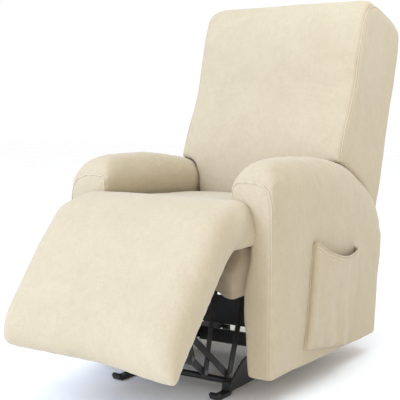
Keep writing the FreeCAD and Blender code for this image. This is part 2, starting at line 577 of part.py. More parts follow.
# ---------------------------------------------------------------- checks and export
doc.recompute()
bad = []
for o in doc.Objects:
    if any(w in ("Invalid", "Error") for w in o.State):
        bad.append("%s: %s" % (o.Name, o.State))
for name, o in OUT.items():
    if o.Shape.isNull() or not o.Shape.isValid() or not o.Shape.Solids:
        bad.append("%s: bad shape" % name)
if bad:
    raise SystemExit("\n".join(bad))
os.makedirs("parts", exist_ok=True)
whole = FreeCAD.BoundBox()
for name, o in sorted(OUT.items()):
    o.Shape.exportStep("parts/%s.step" % name)
    whole.add(o.Shape.BoundBox)
    print("%-24s solids %d  volume %9.1f cm3" % (name, len(o.Shape.Solids), o.Shape.Volume / 1000.0))
print(len(OUT), "nodes; box", [round(v, 1) for v in (whole.XMin, whole.XMax, whole.YMin, whole.YMax, whole.ZMin, whole.ZMax)])
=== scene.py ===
import math
import bpy
import bmesh
import numpy as np
from mathutils import Vector, Matrix, noise
from mathutils.bvhtree import BVHTree
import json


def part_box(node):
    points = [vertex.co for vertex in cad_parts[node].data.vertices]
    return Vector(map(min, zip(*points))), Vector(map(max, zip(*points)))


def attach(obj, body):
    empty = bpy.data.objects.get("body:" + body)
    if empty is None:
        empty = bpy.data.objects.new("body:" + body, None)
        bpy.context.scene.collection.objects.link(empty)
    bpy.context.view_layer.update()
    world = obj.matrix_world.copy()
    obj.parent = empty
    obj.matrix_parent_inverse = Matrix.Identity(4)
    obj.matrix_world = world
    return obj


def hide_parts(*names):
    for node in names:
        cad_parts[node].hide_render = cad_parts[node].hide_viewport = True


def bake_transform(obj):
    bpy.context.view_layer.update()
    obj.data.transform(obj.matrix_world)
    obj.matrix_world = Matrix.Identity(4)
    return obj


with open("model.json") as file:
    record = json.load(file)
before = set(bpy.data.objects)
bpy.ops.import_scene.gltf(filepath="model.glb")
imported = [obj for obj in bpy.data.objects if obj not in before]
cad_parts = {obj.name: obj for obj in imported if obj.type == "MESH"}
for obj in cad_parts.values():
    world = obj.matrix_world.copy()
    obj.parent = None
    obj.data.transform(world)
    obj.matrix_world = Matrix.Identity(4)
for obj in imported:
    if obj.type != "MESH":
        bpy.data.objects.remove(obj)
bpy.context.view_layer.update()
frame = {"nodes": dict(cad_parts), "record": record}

# ------------------------------------------------------------------ places, from the CAD frame
arm_lo, arm_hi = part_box("arm_cover_left")
Y0 = arm_lo.y                       # plane of the arm fronts
ARM_OUT, ARM_TOP, ARM_BASE = arm_hi.x, arm_hi.z, arm_lo.z
ARM_REAR = arm_hi.y - Y0
joint = {j["name"]: j for j in frame["record"]["behaviour"]["joints"]}
K = Vector(joint["footrest_tilt"]["pos_m"])          # knee pivot
H = Vector(joint["back_recline"]["pos_m"])           # back hinge
PHI = math.radians(48.5)                             # slope of the footrest below level
LEAN = math.radians(16.5)                            # lean of the backrest


# ------------------------------------------------------------------ camera
AZ, EL, DIST, FOCAL = math.radians(33.2), math.radians(5.7), 2.33, 893.0
aim = Vector((0.115, Y0, 0.528))
back = Vector((math.sin(AZ) * math.cos(EL), -math.cos(AZ) * math.cos(EL), math.sin(EL)))
cam_data = bpy.data.cameras.new("camera")
cam_data.sensor_width = 36.0
cam_data.lens = FOCAL / 400.0 * 36.0
cam = bpy.data.objects.new("camera", cam_data)
bpy.context.collection.objects.link(cam)
right = Vector((math.cos(AZ), math.sin(AZ), 0))
up = back.cross(right)
cam.matrix_world = Matrix((
    (right.x, up.x, back.x, aim.x + back.x * DIST),
    (right.y, up.y, back.y, aim.y + back.y * DIST),
    (right.z, up.z, back.z, aim.z + back.z * DIST),
    (0, 0, 0, 1)))
bpy.context.scene.camera = cam


# ------------------------------------------------------------------ small tools
def smax(a, b, k):
    """Rounded intersection of two distance fields."""
    h = np.maximum(k - np.abs(a - b), 0.0) / k
    return np.maximum(a, b) + h * h * k * 0.25


def smin(a, b, k):
    return -smax(-a, -b, k)


def spline(pts, n=10, closed=False):
    """Catmull-Rom through the points, n samples a span."""
    p = np.array(pts, float)
    m = len(p)
    out = []
    last = m if closed else m - 1
    for i in range(last):
        if closed:
            a, b, c, d = p[(i - 1) % m], p[i], p[(i + 1) % m], p[(i + 2) % m]
        else:
            b, c = p[i], p[i + 1]
            a = p[i - 1] if i > 0 else 2 * b - c
            d = p[i + 2] if i + 2 < m else 2 * c - b
        for k in range(n):
            t = k / n
            out.append(0.5 * ((2 * b) + (c - a) * t + (2 * a - 5 * b + 4 * c - d) * t * t
                              + (3 * b - a - 3 * c + d) * t ** 3))
    if not closed:
        out.append(p[-1])
    return np.array(out)


def sd_poly(X, Y, poly):
    """Signed distance to a closed polygon, negative inside."""
    P = np.asarray(poly, float)
    d2 = np.full(X.shape, 1e9)
    inside = np.zeros(X.shape, bool)
    for i in range(len(P)):
        ax, ay = P[i - 1]
        bx, by = P[i]
        ex, ey = bx - ax, by - ay
        L = ex * ex + ey * ey
        if L < 1e-14:
            continue
        wx, wy = X - ax, Y - ay
        t = np.clip((wx * ex + wy * ey) / L, 0, 1)
        d2 = np.minimum(d2, (wx - t * ex) ** 2 + (wy - t * ey) ** 2)
        cross = (ay > Y) != (by > Y)
        if abs(by - ay) > 1e-12:
            inside ^= cross & (X < (bx - ax) * (Y - ay) / (by - ay) + ax)
    return np.where(inside, -1.0, 1.0) * np.sqrt(d2)


def nets(F, lo, h):
    """Surface nets: the zero level of F on a grid as vertices and quads."""
    s = F < 0
    nx, ny, nz = F.shape
    corners = [(i, j, k) for i in (0, 1) for j in (0, 1) for k in (0, 1)]

    def at(A, c):
        return A[c[0]:nx - 1 + c[0], c[1]:ny - 1 + c[1], c[2]:nz - 1 + c[2]]
    count = sum(at(s, c).astype(np.int8) for c in corners)
    mixed = (count > 0) & (count < 8)
    ids = np.full(mixed.shape, -1, np.int64)
    cells = np.argwhere(mixed)
    ids[mixed] = np.arange(len(cells))
    acc = np.zeros((len(cells), 3))
    num = np.zeros(len(cells))
    for a in corners:
        for axis in range(3):
            if a[axis]:
                continue
            b = list(a)
            b[axis] = 1
            fa = at(F, a)[mixed]
            fb = at(F, tuple(b))[mixed]
            m = (fa < 0) != (fb < 0)
            t = np.where(m, fa / np.where(m, fa - fb, 1.0), 0.0)
            p = np.tile(np.array(a, float), (len(cells), 1))
            p[:, axis] += t
            acc[m] += p[m]
            num[m] += 1
    verts = np.array(lo) + h * (cells + acc / num[:, None])
    quads = []
    for axis in range(3):
        u, v = (axis + 1) % 3, (axis + 2) % 3
        A = s
        sl0 = [slice(1, -1)] * 3
        sl1 = [slice(1, -1)] * 3
        sl0[axis] = slice(0, -1)
        sl1[axis] = slice(1, None)
        change = A[tuple(sl0)] != A[tuple(sl1)]
        e = np.argwhere(change)
        inside0 = A[tuple(sl0)][change]
        off = np.ones(3, int)
        off[axis] = 0
        e = e + off
        du, dv = np.zeros(3, int), np.zeros(3, int)
        du[u], dv[v] = 1, 1
        q = np.stack([ids[tuple((e - du - dv).T)], ids[tuple((e - dv).T)], ids[tuple(e.T)], ids[tuple((e - du).T)]], 1)
        q[~inside0] = q[~inside0][:, ::-1]
        quads.append(q)
    return verts, np.concatenate(quads)


def new_mesh(name, verts, faces, smooth=True):
    me = bpy.data.meshes.new(name)
    me.from_pydata([tuple(v) for v in verts], [], [tuple(int(i) for i in f) for f in faces])
    me.update()
    if smooth:
        me.polygons.foreach_set("use_smooth", [True] * len(me.polygons))
    o = bpy.data.objects.new(name, me)
    bpy.context.collection.objects.link(o)
    return o


def co_of(o):
    c = np.zeros(len(o.data.vertices) * 3)
    o.data.vertices.foreach_get("co", c)
    return c.reshape(-1, 3)


def set_co(o, c):
    o.data.vertices.foreach_set("co", c.astype(np.float32).ravel())
    o.data.update()


def normals_of(o):
    n = np.zeros(len(o.data.vertices) * 3)
    o.data.vertex_normals.foreach_get("vector", n)
    return n.reshape(-1, 3)


def relax(o, steps=2, factor=0.5, weight=None):
    """Plain smoothing over the edges, to take out the grid's stepping."""
    e = np.zeros(len(o.data.edges) * 2, int)
    o.data.edges.foreach_get("vertices", e)
    e = e.reshape(-1, 2)
    c = co_of(o)
    deg = np.bincount(e.ravel(), minlength=len(c)).astype(float)
    for _ in range(steps):
        for f in (factor, -factor * 0.96):
            s = np.zeros_like(c)
            np.add.at(s, e[:, 0], c[e[:, 1]])
            np.add.at(s, e[:, 1], c[e[:, 0]])
            d = (s / deg[:, None] - c) * f
            if weight is not None:
                d *= weight[:, None]
            c = c + d
    set_co(o, c)


def field(lo, hi, h, fn):
    """Builds a mesh from a distance function of three broadcast coordinate arrays."""
    lo = np.array(lo, float) - 2.5 * h
    n = np.ceil((np.array(hi, float) + 2.5 * h - lo) / h).astype(int) + 1
    ax = [lo[i] + h * np.arange(n[i]) for i in range(3)]
    F = fn(ax[0][:, None, None], ax[1][None, :, None], ax[2][None, None, :])
    F = np.broadcast_to(F, tuple(n)).copy()
    return nets(F, lo, h)


def puff(o, pin, cap, pressure=4.0, frames=20, stiff=15.0):
    """Inflates a closed cloth a little with the cloth simulation. pin is 0..1 a vertex; cap limits how far a point moves."""
    rest = co_of(o)
    g = o.vertex_groups.new(name="pin")
    lvl = np.clip(np.round(pin * 10), 0, 10).astype(int)
    for k in range(1, 11):
        idx = np.nonzero(lvl == k)[0].tolist()
        if idx:
            g.add(idx, k / 10.0, "REPLACE")
    m = o.modifiers.new("cloth", "CLOTH")
    st = m.settings
    st.quality = 5
    st.mass = 0.3
    st.tension_stiffness = stiff
    st.compression_stiffness = stiff
    st.shear_stiffness = 5.0
    st.bending_stiffness = 0.8
    st.use_pressure = True
    st.uniform_pressure_force = pressure
    st.effector_weights.gravity = 0.0
    st.vertex_group_mass = "pin"
    m.collision_settings.use_collision = False
    m.collision_settings.use_self_collision = False
    scene = bpy.context.scene
    m.point_cache.frame_start, m.point_cache.frame_end = 1, frames
    for f in range(1, frames + 1):
        scene.frame_set(f)
    dg = bpy.context.evaluated_depsgraph_get()
    ev = o.evaluated_get(dg)
    c = np.zeros(len(ev.data.vertices) * 3)
    ev.data.vertices.foreach_get("co", c)
    c = c.reshape(-1, 3)
    o.modifiers.remove(m)
    scene.frame_set(1)
    d = c - rest
    L = np.linalg.norm(d, axis=1)
    lim = cap * np.tanh(L / cap)
    d *= (lim / np.maximum(L, 1e-9))[:, None]
    set_co(o, rest + d)
    o.vertex_groups.clear()


def finer(o, levels=1):
    m = o.modifiers.new("finer", "SUBSURF")
    m.levels = m.render_levels = levels


def fbm(c, scale, seed=0.0, octaves=3):
    out = np.zeros(len(c))
    for i, p in enumerate(c):
        out[i] = noise.fractal((p[0] * scale + seed, p[1] * scale - seed, p[2] * scale), 1.0, 2.0, octaves)
    return out


# ------------------------------------------------------------------ materials
def material(name, base, rough, metal=0.0):
    m = bpy.data.materials.new(name)
    m.use_nodes = True
    nt = m.node_tree
    b = nt.nodes["Principled BSDF"]
    b.inputs["Base Color"].default_value = (*base, 1)
    b.inputs["Roughness"].default_value = rough
    b.inputs["Metallic"].default_value = metal
    return m, nt, b


def ramp(nt, a, b, lo=0.35, hi=0.65):
    r = nt.nodes.new("ShaderNodeValToRGB")
    r.color_ramp.elements[0].position = lo
    r.color_ramp.elements[1].position = hi
    r.color_ramp.elements[0].color = (*a, 1)
    r.color_ramp.elements[1].color = (*b, 1)
    return r


def noise_node(nt, scale, detail=3.0, rough=0.5, distort=0.0, stretch=None):
    t = nt.nodes.new("ShaderNodeTexCoord")
    n = nt.nodes.new("ShaderNodeTexNoise")
    n.inputs["Scale"].default_value = scale
    n.inputs["Detail"].default_value = detail
    n.inputs["Roughness"].default_value = rough
    n.inputs["Distortion"].default_value = distort
    if stretch:
        mp = nt.nodes.new("ShaderNodeMapping")
        mp.inputs["Scale"].default_value = stretch
        nt.links.new(t.outputs["Object"], mp.inputs["Vector"])
        nt.links.new(mp.outputs["Vector"], n.inputs["Vector"])
    else:
        nt.links.new(t.outputs["Object"], n.inputs["Vector"])
    return n


def add_bump(nt, b, src, strength, dist, prev=None):
    bp = nt.nodes.new("ShaderNodeBump")
    bp.inputs["Strength"].default_value = strength
    bp.inputs["Distance"].default_value = dist
    nt.links.new(src, bp.inputs["Height"])
    if prev is not None:
        nt.links.new(prev.outputs["Normal"], bp.inputs["Normal"])
    nt.links.new(bp.outputs["Normal"], b.inputs["Normal"])
    return bp


def velvet(name, dark, light, sheen=0.22, tint=(1.0, 0.98, 0.94)):
    m, nt, b = material(name, light, 0.92)
    b.inputs["Sheen Weight"].default_value = sheen
    b.inputs["Sheen Roughness"].default_value = 0.45
    b.inputs["Sheen Tint"].default_value = (*tint, 1)
    b.inputs["Specular IOR Level"].default_value = 0.14
    big = noise_node(nt, 9.0, 6.0, 0.62, 0.6)
    r = ramp(nt, dark, light, 0.30, 0.70)
    nt.links.new(big.outputs["Fac"], r.inputs["Fac"])

    def times(src, other, amount):
        mix = nt.nodes.new("ShaderNodeMix")
        mix.data_type = "RGBA"
        mix.blend_type = "MULTIPLY"
        mix.inputs["Factor"].default_value = amount
        nt.links.new(src, mix.inputs["A"])
        nt.links.new(other, mix.inputs["B"])
        return mix.outputs["Result"]
    # brushed patches a centimetre or two across, lying along the cloth
    mott = noise_node(nt, 62.0, 5.0, 0.72, 0.8, (1.0, 1.0, 0.55))
    mr = ramp(nt, (0.86, 0.852, 0.835), (1.0, 1.0, 1.0), 0.34, 0.62)
    nt.links.new(mott.outputs["Fac"], mr.inputs["Fac"])
    fine = noise_node(nt, 330.0, 3.0, 0.65)
    fr = ramp(nt, (0.82, 0.81, 0.79), (1.0, 1.0, 1.0), 0.32, 0.66)
    nt.links.new(fine.outputs["Fac"], fr.inputs["Fac"])
    col = times(times(r.outputs["Color"], mr.outputs["Color"], 0.40), fr.outputs["Color"], 0.50)
    nt.links.new(col, b.inputs["Base Color"])
    pile = noise_node(nt, 900.0, 2.0, 0.6, 0.0, (1.0, 1.0, 0.35))
    b1 = add_bump(nt, b, pile.outputs["Fac"], 0.30, 0.0007)
    b2 = add_bump(nt, b, mott.outputs["Fac"], 0.22, 0.0022, b1)
    nap = noise_node(nt, 30.0, 5.0, 0.66, 0.6)
    add_bump(nt, b, nap.outputs["Fac"], 0.22, 0.0028, b2)
    rr = ramp(nt, (0.84, 0.84, 0.84), (0.98, 0.98, 0.98), 0.3, 0.7)
    nt.links.new(big.outputs["Fac"], rr.inputs["Fac"])
    nt.links.new(rr.outputs["Color"], b.inputs["Roughness"])
    return m


def woven(name, dark, light, rough=0.85, scale=420.0):
    m, nt, b = material(name, light, rough)
    b.inputs["Sheen Weight"].default_value = 0.15
    t = nt.nodes.new("ShaderNodeTexCoord")
    hs = []
    for i, ang in enumerate((0.0, math.pi / 2)):
        mp = nt.nodes.new("ShaderNodeMapping")
        mp.inputs["Rotation"].default_value = (0.0, ang, 0.0)
        w = nt.nodes.new("ShaderNodeTexWave")
        w.inputs["Scale"].default_value = scale
        w.inputs["Distortion"].default_value = 0.6
        nt.links.new(t.outputs["Object"], mp.inputs["Vector"])
        nt.links.new(mp.outputs["Vector"], w.inputs["Vector"])
        hs.append(w)
    prod = nt.nodes.new("ShaderNodeMath")
    prod.operation = "MULTIPLY"
    nt.links.new(hs[0].outputs["Fac"], prod.inputs[0])
    nt.links.new(hs[1].outputs["Fac"], prod.inputs[1])
    big = noise_node(nt, 14.0, 4.0)
    r = ramp(nt, dark, light)
    nt.links.new(big.outputs["Fac"], r.inputs["Fac"])
    nt.links.new(r.outputs["Color"], b.inputs["Base Color"])
    add_bump(nt, b, prod.outputs["Value"], 0.4, 0.0006)
    return m


def painted_steel(name, dark, light, rlo, rhi, metal=0.0, flake=600.0, bump=0.15):
    m, nt, b = material(name, light, rlo, metal)
    big = noise_node(nt, 22.0, 5.0, 0.6)
    r = ramp(nt, dark, light)
    nt.links.new(big.outputs["Fac"], r.inputs["Fac"])
    nt.links.new(r.outputs["Color"], b.inputs["Base Color"])
    rr = ramp(nt, (rlo,) * 3, (rhi,) * 3)
    nt.links.new(big.outputs["Fac"], rr.inputs["Fac"])
    nt.links.new(rr.outputs["Color"], b.inputs["Roughness"])
    f = noise_node(nt, flake, 3.0, 0.6)
    add_bump(nt, b, f.outputs["Fac"], bump, 0.0004)
    return m


def timber(name, dark, light):
    m, nt, b = material(name, light, 0.62)
    n = noise_node(nt, 9.0, 6.0, 0.62, 1.2, (1.0, 9.0, 9.0))
    r = ramp(nt, dark, light, 0.32, 0.70)
    nt.links.new(n.outputs["Fac"], r.inputs["Fac"])
    nt.links.new(r.outputs["Color"], b.inputs["Base Color"])
    add_bump(nt, b, n.outputs["Fac"], 0.25, 0.0015)
    return m


def foamy(name, dark, light):
    m, nt, b = material(name, light, 0.95)
    n = noise_node(nt, 330.0, 4.0, 0.7)
    r = ramp(nt, dark, light, 0.35, 0.6)
    nt.links.new(n.outputs["Fac"], r.inputs["Fac"])
    nt.links.new(r.outputs["Color"], b.inputs["Base Color"])
    add_bump(nt, b, n.outputs["Fac"], 0.7, 0.002)
    return m


VELVET = velvet("velvet_cream", (0.480, 0.397, 0.269), (0.508, 0.425, 0.294))
# seam rolls get a lighter copy of the cream velvet: a painted highlight along the raised seams
SEAM_HIGHLIGHT = velvet("velvet_seam_painted_highlight", (0.515, 0.432, 0.300), (0.565, 0.482, 0.345), 0.25)
THREAD = woven("thread_cream", (0.70, 0.64, 0.52), (0.80, 0.74, 0.62), 0.7, 900.0)
LINING = woven("lining_taupe", (0.320, 0.245, 0.155), (0.405, 0.320, 0.210))
DUST = woven("dust_cloth", (0.030, 0.029, 0.028), (0.045, 0.043, 0.041), 0.9)
STEEL = painted_steel("black_steel", (0.006, 0.006, 0.006), (0.014, 0.014, 0.014), 0.38, 0.56)
BRIGHT = painted_steel("bright_steel", (0.10, 0.10, 0.105), (0.20, 0.20, 0.205), 0.30, 0.46, 1.0, 900.0, 0.05)
SPRING = painted_steel("spring_steel", (0.16, 0.16, 0.17), (0.28, 0.28, 0.29), 0.32, 0.5, 1.0)
PLASTIC = painted_steel("grip_plastic", (0.012, 0.012, 0.013), (0.020, 0.020, 0.021), 0.42, 0.56, 0.0, 1500.0, 0.3)
WOOD = timber("frame_wood", (0.40, 0.25, 0.12), (0.62, 0.43, 0.24))
FOAM = foamy("foam", (0.70, 0.64, 0.44), (0.86, 0.81, 0.62))
by_slot = {"velvet": VELVET, "lining": LINING, "foam": FOAM, "frame_wood": WOOD, "black_steel": STEEL,
           "spring_steel": SPRING, "bright_steel": BRIGHT, "grip_plastic": PLASTIC}
slot_of = {}
for sub in frame["record"]["subparts"]:
    slot_of[sub["node"]] = sub["material_slot"]


def paint(o, m):
    o.data.materials.clear()
    o.data.materials.append(m)


# ------------------------------------------------------------------ the hard parts, straight from the CAD
for n, o in frame["nodes"].items():
    s = slot_of.get(n)
    if s:
        paint(o, by_slot[s])
    if s in ("black_steel", "bright_steel", "grip_plastic", "frame_wood"):
        bv = o.modifiers.new("edges", "BEVEL")
        bv.width = 0.0009 if s != "frame_wood" else 0.002
        bv.segments = 2
        bv.limit_method = "ANGLE"
        bv.angle_limit = math.radians(38)
        bv.use_clamp_overlap = True
        bv.harden_normals = False
        for p in o.data.polygons:
            p.use_smooth = False


# ------------------------------------------------------------------ helpers for seams and surfaces
def bvh_of(o):
    return BVHTree.FromPolygons([v.co.copy() for v in o.data.vertices], [list(p.vertices) for p in o.data.polygons])


def resample(path, step):
    p = np.asarray(path, float)
    d = np.concatenate([[0], np.cumsum(np.linalg.norm(np.diff(p, axis=0), axis=1))])
    n = max(2, int(round(d[-1] / step)) + 1)
    t = np.linspace(0, d[-1], n)
    return np.stack([np.interp(t, d, p[:, i]) for i in range(3)], 1)


def drop_on(tree, path, step=0.004, smooth=2):
    """Puts a path on a surface; returns points and normals."""
    p = resample(path, step)
    out, nor = [], []
    for q in p:
        loc, nrm, _, _ = tree.find_nearest(Vector(q))
        out.append(loc)
        nor.append(nrm)
    out, nor = np.array(out), np.array(nor)
    for _ in range(smooth):
        out[1:-1] = (out[:-2] + 2 * out[1:-1] + out[2:]) / 4
        nor[1:-1] = (nor[:-2] + 2 * nor[1:-1] + nor[2:]) / 4
    nor /= np.linalg.norm(nor, axis=1)[:, None]
    return out, nor


def tube(name, pts, nors, r, flat=1.0, lift=0.0, sides=8, closed=False, beat=0.0, every=2):
    """A seam roll along points on a surface. flat squeezes it towards the surface, beat pinches it at each stitch."""
    n = len(pts)
    tan = np.gradient(pts, axis=0)
    tan /= np.maximum(np.linalg.norm(tan, axis=1), 1e-9)[:, None]
    bi = np.cross(tan, nors)
    bi /= np.maximum(np.linalg.norm(bi, axis=1), 1e-9)[:, None]
    verts, faces = [], []
    for i in range(n):
        k = 1.0 - (beat if i % every == 0 else 0.0)
        taper = 1.0 if closed else min(1.0, 0.35 + 0.65 * min(i, n - 1 - i) / 3.0)
        for j in range(sides):
            a = 2 * math.pi * j / sides
            verts.append(pts[i] + nors[i] * (lift + r * k * taper * flat * math.sin(a)) + bi[i] * r * k * taper * math.cos(a))
    for i in range(n if closed else n - 1):
        for j in range(sides):
            a, b = i * sides + j, i * sides + (j + 1) % sides
            c, d = ((i + 1) % n) * sides + (j + 1) % sides, ((i + 1) % n) * sides + j
            faces.append((a, b, c, d))
    if not closed:
        faces.append(tuple(range(sides))[::-1])
        faces.append(tuple((n - 1) * sides + j for j in range(sides)))
    o = new_mesh(name, verts, faces)
    bm = bmesh.new()
    bm.from_mesh(o.data)
    bmesh.ops.recalc_face_normals(bm, faces=bm.faces)
    bm.to_mesh(o.data)
    bm.free()
    return o


def stitches(name, pts, nors, length=0.0042, gap=0.0022, r=0.00055, lift=0.0004, side=0.0):
    """A row of short threads lying on a surface."""
    seg = np.linalg.norm(np.diff(pts, axis=0), axis=1)
    d = np.concatenate([[0], np.cumsum(seg)])
    tan = np.gradient(pts, axis=0)
    tan /= np.maximum(np.linalg.norm(tan, axis=1), 1e-9)[:, None]
    bi = np.cross(tan, nors)
    bi /= np.maximum(np.linalg.norm(bi, axis=1), 1e-9)[:, None]
    verts, faces = [], []

    def at(s):
        q = np.array([np.interp(s, d, pts[:, k]) for k in range(3)])
        n = np.array([np.interp(s, d, nors[:, k]) for k in range(3)])
        b = np.array([np.interp(s, d, bi[:, k]) for k in range(3)])
        return q + b * side, n / np.linalg.norm(n), b / np.linalg.norm(b)
    s = gap
    while s + length < d[-1]:
        base = len(verts)
        for i, (f, h, w) in enumerate(((0.0, -0.3, 0.5), (0.25, 0.7, 0.9), (0.5, 1.0, 1.0), (0.75, 0.7, 0.9), (1.0, -0.3, 0.5))):
            q, n, b = at(s + f * length)
            c = q + n * (lift * h)
            for j in range(5):
                a = 2 * math.pi * j / 5
                verts.append(c + n * (r * w * math.sin(a)) + b * (r * w * math.cos(a)))
        for i in range(4):
            for j in range(5):
                faces.append((base + i * 5 + j, base + i * 5 + (j + 1) % 5, base + (i + 1) * 5 + (j + 1) % 5, base + (i + 1) * 5 + j))
        faces.append(tuple(base + j for j in range(5))[::-1])
        faces.append(tuple(base + 20 + j for j in range(5)))
        s += length + gap
    o = new_mesh(name, verts, faces)
    bm = bmesh.new()
    bm.from_mesh(o.data)
    bmesh.ops.recalc_face_normals(bm, faces=bm.faces)
    bm.to_mesh(o.data)
    bm.free()
    return o


def near(c, path, r):
    """1 on a path, falling to 0 at distance r."""
    p = resample(path, 0.008)
    out = np.full(len(c), 1e9)
    for i in range(0, len(p), 64):
        q = p[i:i + 64]
        d = ((c[:, None, :] - q[None]) ** 2).sum(2).min(1)
        out = np.minimum(out, d)
    d = np.sqrt(out)
    return np.clip(1 - d / r, 0, 1), d


def pull_in(o, path, depth, width):
    """A seam's valley in the surface."""
    c = co_of(o)
    n = normals_of(o)
    _, d = near(c, path, width)
    set_co(o, c - n * (depth * np.exp(-(d / width) ** 2))[:, None])


GRID = 0.0075


# ------------------------------------------------------------------ the arms
arch = spline([(-0.004, 0.505), (0.001, 0.553), (0.014, 0.592), (0.040, 0.620), (0.098, 0.639), (0.200, 0.645), (0.300, 0.642),
               (0.400, 0.631), (0.500, 0.611), (0.575, 0.581), (0.643, 0.546), (0.692, 0.510), (0.721, 0.463),
               (0.730, 0.408), (0.727, 0.340), (0.711, 0.230), (0.694, 0.076)], 6)
ARCH = np.vstack([[(0.0, 0.045)], [(-0.002, 0.30)], arch, [(0.693, 0.045)]])
top_y = np.array([p[0] for p in arch if p[1] > 0.45])
top_z = np.array([p[1] for p in arch if p[1] > 0.45])
SECTION = np.vstack([[(0.257, 0.045)], spline([(0.257, 0.40), (0.258, 0.43), (0.250, 0.462), (0.222, 0.500), (0.205, 0.540), (0.204, 0.580),
                     (0.220, 0.620), (0.250, 0.642), (0.278, 0.644), (0.306, 0.624), (0.325, 0.584), (0.332, 0.53)], 6),
                     [(0.331, 0.045)]])


def arm_shape(side):
    def fn(x, y, z):
        x, y, z = np.broadcast_arrays(x * side, y - Y0, z)
        drop = np.interp(y, top_y, 0.645 - top_z, right=0.19)
        drop = np.where(y < 0.20, 0.0, drop) * np.clip((z - 0.10) / 0.30, 0, 1)
        bulge = 0.004 * np.clip(1 - ((z - 0.34) / 0.27) ** 2, 0, 1) * np.clip(1 - ((y - 0.35) / 0.36) ** 2, 0, 1)
        ahead = np.clip((0.045 - y) / 0.04, 0, 1) * np.clip((0.29 - x) / 0.03, 0, 1)
        edge = np.interp(z, [0.07, 0.15, 0.25, 0.30, 0.345, 0.385, 0.41, 0.45, 0.50], [0, -0.006, -0.013, -0.012, -0.002, 0.010, 0.012, 0.004, 0.0])
        a = sd_poly(x - bulge * np.clip((x - 0.29) / 0.04, 0, 1) - edge * ahead, z + drop, SECTION)
        b = sd_poly(y, z, ARCH)
        k = 0.012 + 0.014 * np.clip((y - 0.5) / 0.1, 0, 1) + 0.014 * np.clip((z - 0.55) / 0.05, 0, 1)
        d = smax(a, b, k)
        # the skirt hangs a little lower at the rear
        return smax(d, ARM_BASE - 0.002 - 0.015 * np.clip(y / 0.68, 0, 1) ** 1.3 - z, 0.006)
    return fn


def front_seam(side, y=-0.003):
    s = [(0.2035, 0.520), (0.2035, 0.555), (0.208, 0.574), (0.222, 0.582), (0.250, 0.584), (0.280, 0.581), (0.303, 0.572),
         (0.320, 0.552), (0.3285, 0.520), (0.330, 0.47), (0.330, 0.35), (0.330, 0.2), (0.330, 0.082)]
    q = spline([(a * side, y, b) for a, b in s], 5)
    return q + np.array([0, Y0, 0])


def make_arm(side, word, seed):
    v, f = field((side * 0.27 - 0.078, Y0 - 0.010, ARM_BASE), (side * 0.27 + 0.078, Y0 + 0.738, 0.655), GRID, arm_shape(side))
    o = new_mesh("arm_cover_" + word + "_cloth", v, f)
    relax(o, 3)
    c = co_of(o)
    seam = front_seam(side)
    pin, _ = near(c, seam, 0.035)
    inner = np.clip((0.262 - c[:, 0] * side) / 0.004, 0, 1) * np.clip((0.46 - c[:, 2]) / 0.03, 0, 1)
    low = np.clip((0.110 - c[:, 2]) / 0.03, 0, 1)
    front = np.clip((Y0 + 0.012 - c[:, 1]) / 0.01, 0, 1) * 0.6
    puff(o, np.clip(np.maximum.reduce([pin, inner, low, front]), 0.12, 1.0), 0.009)
    relax(o, 2)
    finer(o)
    dg = bpy.context.evaluated_depsgraph_get()
    me = bpy.data.meshes.new_from_object(o.evaluated_get(dg))
    o.modifiers.clear()
    o.data = me
    c = co_of(o)
    n = normals_of(o)
    # soft hollows and a few pulls from the front corner
    w = fbm(c, 5.0, seed) * 0.0022 + fbm(c, 16.0, seed + 3) * 0.0007
    keep = 1 - near(c, seam, 0.02)[0]
    yy = c[:, 1] - Y0
    pull = np.sin((yy * 0.55 + (0.62 - c[:, 2]) * 1.0) * 95.0 + seed) * np.exp(-((yy - 0.05) / 0.05) ** 2) \
        * np.exp(-((c[:, 2] - 0.60) / 0.035) ** 2) * 0.0012
    # little puckers where the end panel is sewn to the sleeve
    _, ds = near(c, seam, 0.03)
    puck = np.sin((c[:, 0] * side * 0.9 + c[:, 2] * 0.7) * 260.0 + 2.0 * fbm(c, 30.0, seed + 9)) * np.exp(-((ds - 0.010) / 0.010) ** 2) * 0.0011
    puck *= np.clip((c[:, 2] - 0.42) / 0.10, 0.25, 1)
    set_co(o, c + n * ((w + pull) * keep + puck)[:, None])
    pull_in(o, seam, 0.0034, 0.008)
    paint(o, VELVET)
    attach(o, "base")
    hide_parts("arm_cover_" + word, "arm_foam_" + word)
    tree = bvh_of(o)
    p, nn = drop_on(tree, seam, 0.003, 3)
    t = tube("arm_seam_" + word, p, nn, 0.0021, 0.8, 0.0007, 8, beat=0.18, every=2)
    # the lighter seam velvet is a painted highlight on the seam roll
    paint(t, SEAM_HIGHLIGHT)
    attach(t, "base")
    return o, tree


arm_l, tree_l = make_arm(1, "left", 2.0)
arm_r, tree_r = make_arm(-1, "right", 7.0)


# ------------------------------------------------------------------ the back
bx = Vector((0, math.cos(LEAN), -math.sin(LEAN)))      # rearward, square to the back
ax_ = Vector((0, math.sin(LEAN), math.cos(LEAN)))      # up along the back


def back_point(x, b, a):
    return H + Vector((x, 0, 0)) + bx * b + ax_ * a - Vector((H.x, 0, 0))


side_b = spline([(-0.110, 0.060), (-0.128, 0.12), (-0.146, 0.19), (-0.153, 0.25), (-0.146, 0.31), (-0.136, 0.37), (-0.124, 0.43),
                 (-0.118, 0.50), (-0.122, 0.59), (-0.123, 0.69), (-0.114, 0.744), (-0.088, 0.778), (-0.034, 0.794),
                 (0.080, 0.800), (0.142, 0.798), (0.174, 0.785), (0.190, 0.757), (0.196, 0.715), (0.197, 0.60), (0.193, 0.45), (0.188, 0.20), (0.182, 0.02)], 6)
BACK_SIDE = np.vstack([side_b, [(0.178, -0.025), (0.100, -0.025), (0.020, 0.055)]])
shoulder_b = np.array([-0.155, -0.057, 0.012, 0.0625, 0.100, 0.126, 0.150, 0.180])
shoulder_a = np.array([0.190, 0.175, 0.150, 0.130, 0.110, 0.090, 0.070, 0.050])
WING, WING_L = 0.283, 0.289          # half width to the two sides


